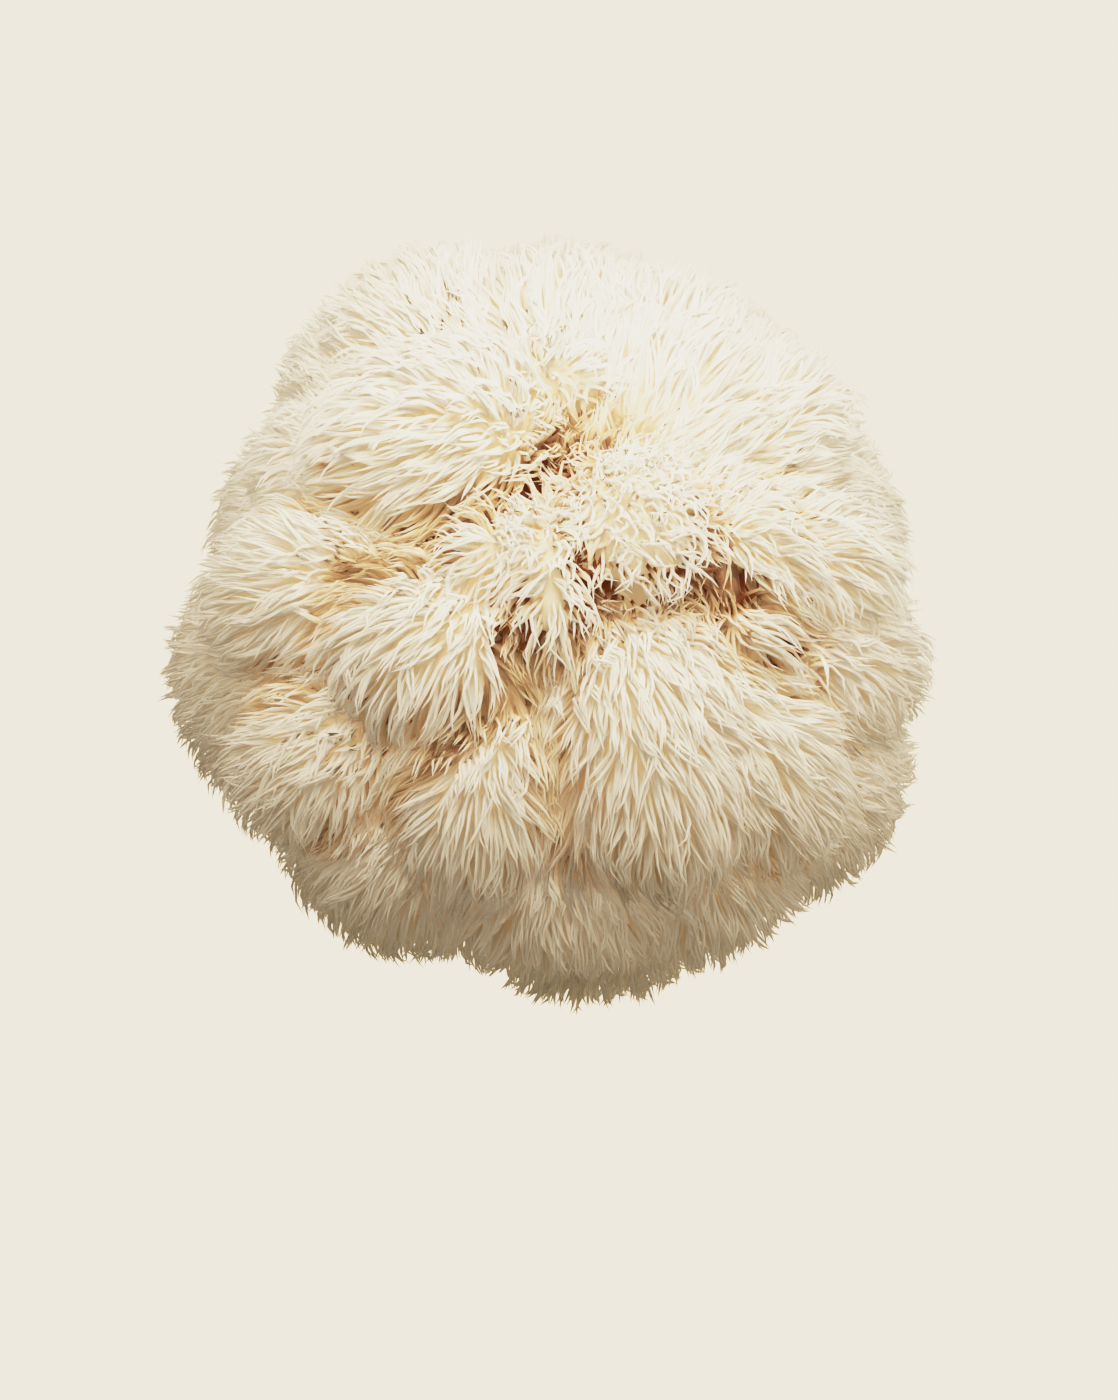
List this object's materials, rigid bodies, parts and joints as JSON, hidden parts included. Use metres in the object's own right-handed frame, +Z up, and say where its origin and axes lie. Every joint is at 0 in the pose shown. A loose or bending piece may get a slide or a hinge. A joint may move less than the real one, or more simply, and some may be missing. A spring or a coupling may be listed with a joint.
{
  "type": "lion's mane mushroom",
  "caption": "Lobed, globe-shaped mushroom with a shaggy mane of soft hanging spines, cut flat at its short stub to stand on.",
  "frame": {"origin": "middle of the flat cut under the stub, on the surface that the mushroom stands on", "axes": "+Z up, out of the crown; -Y towards the front, the side that the picture shows best; +X to its right"},
  "size_m": [0.1757, 0.1917, 0.1586],
  "materials": {
    "ivory_flesh": "soft ivory mushroom flesh and spines, warmer and darker towards the roots of the spines"
  },
  "bodies": {
    "root": {"fruiting_body": "ivory_flesh"}
  },
  "joints": []
}
